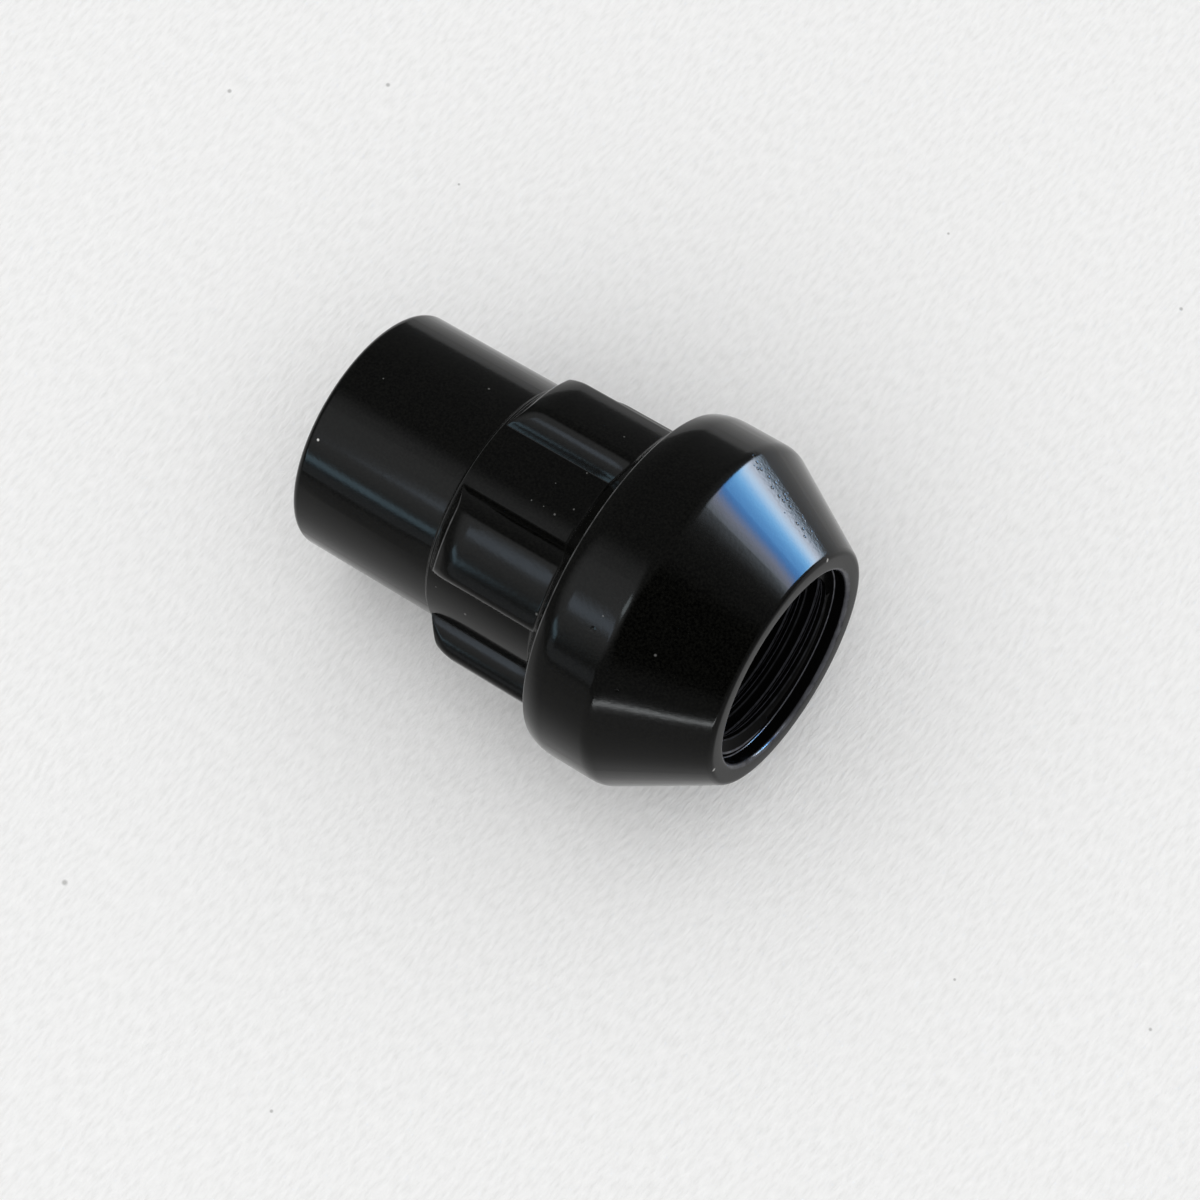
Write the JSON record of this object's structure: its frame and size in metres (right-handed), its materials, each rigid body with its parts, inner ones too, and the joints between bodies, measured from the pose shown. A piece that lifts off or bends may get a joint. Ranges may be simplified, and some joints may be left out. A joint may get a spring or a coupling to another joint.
{
  "type": "lug nut",
  "caption": "Closed-end lug nut with a round cap, a lobed drive for a key, a flange and a 60 degree conical seat.",
  "frame": {"origin": "centre of the flat cap end, which the nut stands on", "axes": "+Z along the nut's axis, from the cap end to the mouth of the stud hole; +X through the middle of one land of the key drive"},
  "size_m": [0.0254, 0.0254, 0.0342],
  "materials": {
    "black_coating": "satin black coating over steel"
  },
  "bodies": {
    "root": {"lug_nut": "black_coating"}
  },
  "joints": []
}
